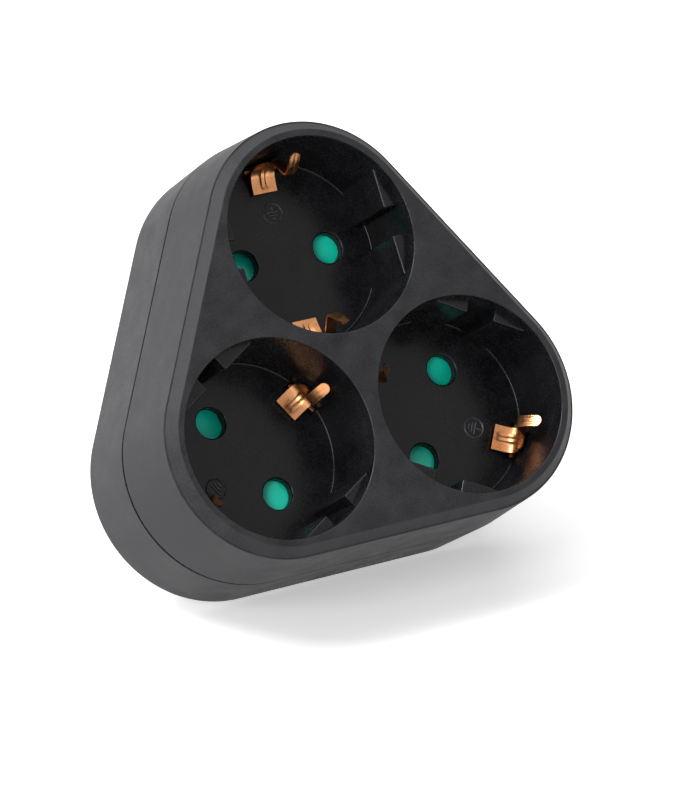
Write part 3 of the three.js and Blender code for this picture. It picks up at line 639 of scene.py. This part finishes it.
def strip(path, x0, x1, across, thickness, tip, dent):
    """Sheet metal drawn along [y, z] points: a row of edges is extruded from point to point,
    narrowed towards a round tip, pressed by dent(share along, share across), and given its thickness"""
    shape = bmesh.new()
    spots = [Vector((0, y, z)) for y, z in path]
    lengths = [0.0]
    for start, end in zip(spots, spots[1:]):
        lengths.append(lengths[-1] + (end - start).length)
    row = [shape.verts.new((x0 + (x1 - x0) * i / across, *path[0])) for i in range(across + 1)]
    edges = [shape.edges.new(pair) for pair in zip(row, row[1:])]
    rows = [row]
    for start, end in zip(spots, spots[1:]):
        made = bmesh.ops.extrude_edge_only(shape, edges=edges)["geom"]
        row = sorted((item for item in made if isinstance(item, bmesh.types.BMVert)), key=lambda v: v.co.x)
        edges = [item for item in made if isinstance(item, bmesh.types.BMEdge)]
        bmesh.ops.translate(shape, verts=row, vec=end - start)
        rows.append(row)
    middle, half = (x0 + x1) / 2, (x1 - x0) / 2
    for index, row in enumerate(rows):
        before, after = spots[max(index - 1, 0)], spots[min(index + 1, len(spots) - 1)]
        along = (after - before).normalized()
        normal = Vector((0, -along.z, along.y))
        left = lengths[-1] - lengths[index]
        narrow = math.sqrt(max(1 - (1 - left / tip) ** 2, 0.02)) if left < tip else 1
        for vert in row:
            share = (vert.co.x - middle) / half
            vert.co += normal * dent(lengths[index] / lengths[-1], share)
            vert.co.x = middle + share * half * narrow
    bmesh.ops.recalc_face_normals(shape, faces=shape.faces)
    bmesh.ops.solidify(shape, geom=shape.faces[:], thickness=thickness)
    return tidied(shape)


def bump_at(value, centre, width):
    return math.exp(-((value - centre) / width) ** 2)


def leaf_press(along, across):
    """Two ridges with a groove between them, over the middle of the leaf"""
    reach = 1 / (1 + math.exp(-(along - 0.14) * 26)) / (1 + math.exp((along - 0.8) * 26))
    return -reach * 0.3 * (bump_at(across, -0.1, 0.13) + bump_at(across, 0.26, 0.13))


def finger_press(along, across):
    """The long oval pressed into the finger's tip"""
    reach = 1 / (1 + math.exp(-(along - 0.62) * 24)) / (1 + math.exp((along - 0.93) * 40))
    return reach * 0.12 * (bump_at(across, 0.4, 0.25) + bump_at(across, -0.4, 0.25))


def bend_path(bends):
    """The smooth line through bends that are measured from the arm's sheet and the well's floor"""
    return spline([(ARM_Y + y, FLOOR_Z + z) for y, z in bends], BEND_STEPS)


def contact_side(finger_x):
    """The arm, leaf and finger at one side of a socket"""
    half_arm, half_sheet = STRAP_THICKNESS / 2, SHEET_THICKNESS / 2
    arm = block(
        -ARM_HALF, ARM_HALF, ARM_Y - half_arm, ARM_Y + half_arm, STRAP_Z, FLOOR_Z + ARM_RISE, ARM_EDGE, 2,
    )
    tab = block(
        LEAF_LEFT + 0.3, LEAF_RIGHT - 0.3, ARM_Y - half_sheet, ARM_Y + half_sheet,
        FLOOR_Z - 0.3, FLOOR_Z + TAB_RISE, TAB_EDGE, 2,
    )
    leaf = strip(bend_path(LEAF_BENDS), LEAF_LEFT, LEAF_RIGHT, 20, SHEET_THICKNESS, LEAF_TIP, leaf_press)
    finger = strip(
        bend_path(FINGER_BENDS), finger_x - FINGER_HALF, finger_x + FINGER_HALF,
        12, SHEET_THICKNESS, FINGER_TIP, finger_press,
    )
    return gathered([arm, tab, leaf, finger])


for corner, angle in CORNERS.items():
    parts = []
    for flip in (1, -1):
        side = contact_side(FINGER_X[corner])
        bmesh.ops.scale(side, verts=side.verts, vec=(FINGER_SIDES[corner], flip, 1))
        bmesh.ops.recalc_face_normals(side, faces=side.faces)
        parts.append(side)
    strap_end, half_strap = ARM_Y + STRAP_THICKNESS / 2, STRAP_THICKNESS / 2
    parts.append(block(
        -ARM_HALF, ARM_HALF, -strap_end, strap_end, STRAP_Z - half_strap, STRAP_Z + half_strap, ARM_EDGE, 2,
    ))
    finished(
        f"earth_spring_{corner}", in_socket(gathered(parts), angle), [phosphor_bronze],
        replaces=[f"earth_contact_{corner}"], crease=40,
    )

# Current path: brass sleeves that grip the pins, pressed brass busbars and the brass earth plate.
# They lie inside the casing and are stamped from sheet or turned, so they keep a fine drawn finish.
sheet_brass = plain_finish(
    "stamped_sheet_brass", "#c2a052", "#d2b268", mottle_mm=1.0, rough_low=0.28, rough_high=0.4, metallic=1.0,
)
refinish(sheet_brass, "earth_plate", "live_busbar", "neutral_busbar")
for corner in CORNERS:
    refinish(sheet_brass, f"live_sleeve_{corner}", f"neutral_sleeve_{corner}")

# Plug pins and earth strips: turned brass pins and bent strips, plated with nickel.
# The pins go into the wall socket, and the strips slide on its earth clips.
nickel_plate = plain_finish(
    "bright_nickel_plate", "#bfbdb6", "#cdcbc6",
    mottle_mm=0.8, rough_low=0.14, rough_high=0.26, metallic=1.0, bump_mm=0.002,
)
refinish(nickel_plate, "live_plug_pin", "neutral_plug_pin", "plug_earth_strip_left", "plug_earth_strip_right")

# Casing screws: three zinc-plated steel screws with cross recesses, sunk in the rear cover.
# They hold the two mouldings together from the back.
zinc_steel = plain_finish(
    "zinc_plated_steel", "#a5a8ab", "#b6b9ba", mottle_mm=0.5, rough_low=0.24, rough_high=0.38, metallic=1.0,
)
refinish(zinc_steel, *[f"case_screw_opposite_{corner}" for corner in CORNERS])


# Table: a wide white sheet that leans as the photographed table does against the upright adapter.
# It touches the casing's lower rear edge and the tip of the lower pin, and is clear from behind.
def seen_rays(owner):
    """1 for a ray from the camera, a reflection or a see-through piece, and 0 for light"""
    path = add_node(owner, "ShaderNodeLightPath", {})
    seen = path.outputs["Is Camera Ray"]
    for kind in ("Is Glossy Ray", "Is Transmission Ray"):
        seen = add_node(
            owner, "ShaderNodeMath", {0: seen, 1: path.outputs[kind]}, operation="MAXIMUM",
        ).outputs[0]
    return seen


TABLE_LEAN = 34.3
TABLE_TOUCH = (0, -0.0173, -0.0366)
TABLE_GLOW = 0.38
WHITE = (1, 1, 1, 1)
table = bmesh.new()
bmesh.ops.create_grid(table, x_segments=1, y_segments=1, size=1.5)
leaning = Matrix.Translation(TABLE_TOUCH) @ Matrix.Rotation(math.radians(TABLE_LEAN), 4, "X")
bmesh.ops.transform(table, verts=table.verts, matrix=leaning)
table_sheet = placed("table", meshed("table", table))
white_sheet = new_material("matt_white_sheet")
glow = add_node(
    white_sheet, "ShaderNodeMath", {0: seen_rays(white_sheet), 1: TABLE_GLOW}, operation="MULTIPLY",
)
matt = add_node(white_sheet, "ShaderNodeBsdfDiffuse", {"Color": linear("#f2f2f2")})
lit = add_node(white_sheet, "ShaderNodeEmission", {"Color": WHITE, "Strength": glow.outputs[0]})
front_side = add_node(white_sheet, "ShaderNodeAddShader", {0: matt.outputs[0], 1: lit.outputs[0]})
clear = add_node(white_sheet, "ShaderNodeBsdfTransparent", {})
behind = add_node(white_sheet, "ShaderNodeNewGeometry", {}).outputs["Backfacing"]
shown(white_sheet, add_node(
    white_sheet, "ShaderNodeMixShader", {0: behind, 1: front_side.outputs[0], 2: clear.outputs[0]},
))
table_sheet.data.materials.append(white_sheet)

# Light: a white room, large soft lamps from above and from the left, a smaller one from the upper left
# that shows the rounded edges, and a weak one from the front.
ROOM_LIGHT = 0.26
world = bpy.data.worlds.new("room")
bpy.context.scene.world = world
world.use_nodes = True
world.node_tree.nodes.clear()
room_level = add_node(
    world, "ShaderNodeMapRange", {"Value": seen_rays(world), "To Min": ROOM_LIGHT, "To Max": 1.0},
)
room = add_node(world, "ShaderNodeBackground", {"Color": WHITE, "Strength": room_level.outputs[0]})
add_node(world, "ShaderNodeOutputWorld", {"Surface": room.outputs[0]})


def soft_lamp(name, sideways, upward, towards, distance, size, power):
    """A square lamp, placed by the camera's own right, up and back directions"""
    data = bpy.data.lights.new(name, "AREA")
    data.shape = "SQUARE"
    data.size = size
    data.energy = power
    lamp = placed(name, data)
    direction = (camera_right * sideways + camera_up * upward + camera_back * towards).normalized()
    turn = direction.to_track_quat("Z", "Y").to_matrix().to_4x4()
    lamp.matrix_world = Matrix.Translation(direction * distance) @ turn


soft_lamp("top_lamp", sideways=-0.25, upward=1.0, towards=0.15, distance=1.3, size=2.0, power=16)
soft_lamp("left_lamp", sideways=-1.0, upward=0.35, towards=0.15, distance=1.3, size=1.6, power=6)
soft_lamp("edge_lamp", sideways=-0.53, upward=0.66, towards=0.52, distance=1.5, size=0.6, power=16)
soft_lamp("front_lamp", sideways=-0.35, upward=0.1, towards=1.0, distance=1.5, size=0.7, power=12)

bpy.context.scene.view_settings.view_transform = "Standard"
